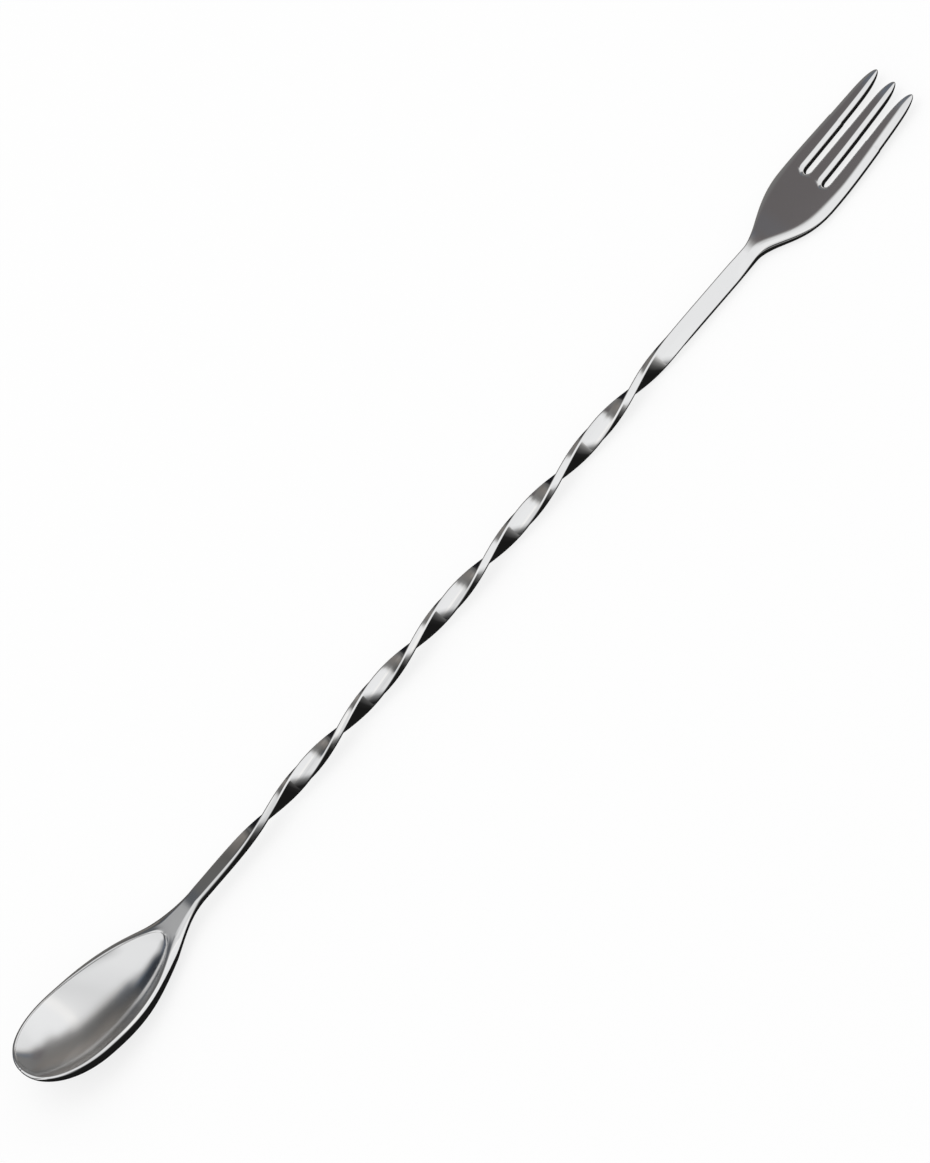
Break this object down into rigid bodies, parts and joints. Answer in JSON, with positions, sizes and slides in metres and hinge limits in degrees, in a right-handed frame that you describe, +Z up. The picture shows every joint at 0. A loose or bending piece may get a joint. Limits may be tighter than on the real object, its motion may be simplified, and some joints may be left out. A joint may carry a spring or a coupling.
{
  "type": "bar spoon",
  "caption": "Long bar spoon of polished stainless steel: an oval bowl at one end, a stem twisted from flat bar, and a small fork with slim tines at the other end.",
  "frame": {"origin": "centre of the spoon's bounding box, on the surface it lies on: the belly of the bowl and the back of the fork touch z = 0", "axes": "+X from the bowl to the fork, +Z up out of the open bowl, +Y across the spoon"},
  "size_m": [0.3048, 0.0258, 0.0121],
  "materials": {
    "bowl_steel": "satin-polished stainless steel",
    "stem_steel": "mirror-polished stainless steel",
    "fork_steel": "mirror-polished stainless steel, fine grain left in the slots"
  },
  "bodies": {
    "root": {"spoon_bowl": "bowl_steel", "twisted_stem": "stem_steel", "fork_head": "fork_steel"}
  },
  "joints": []
}
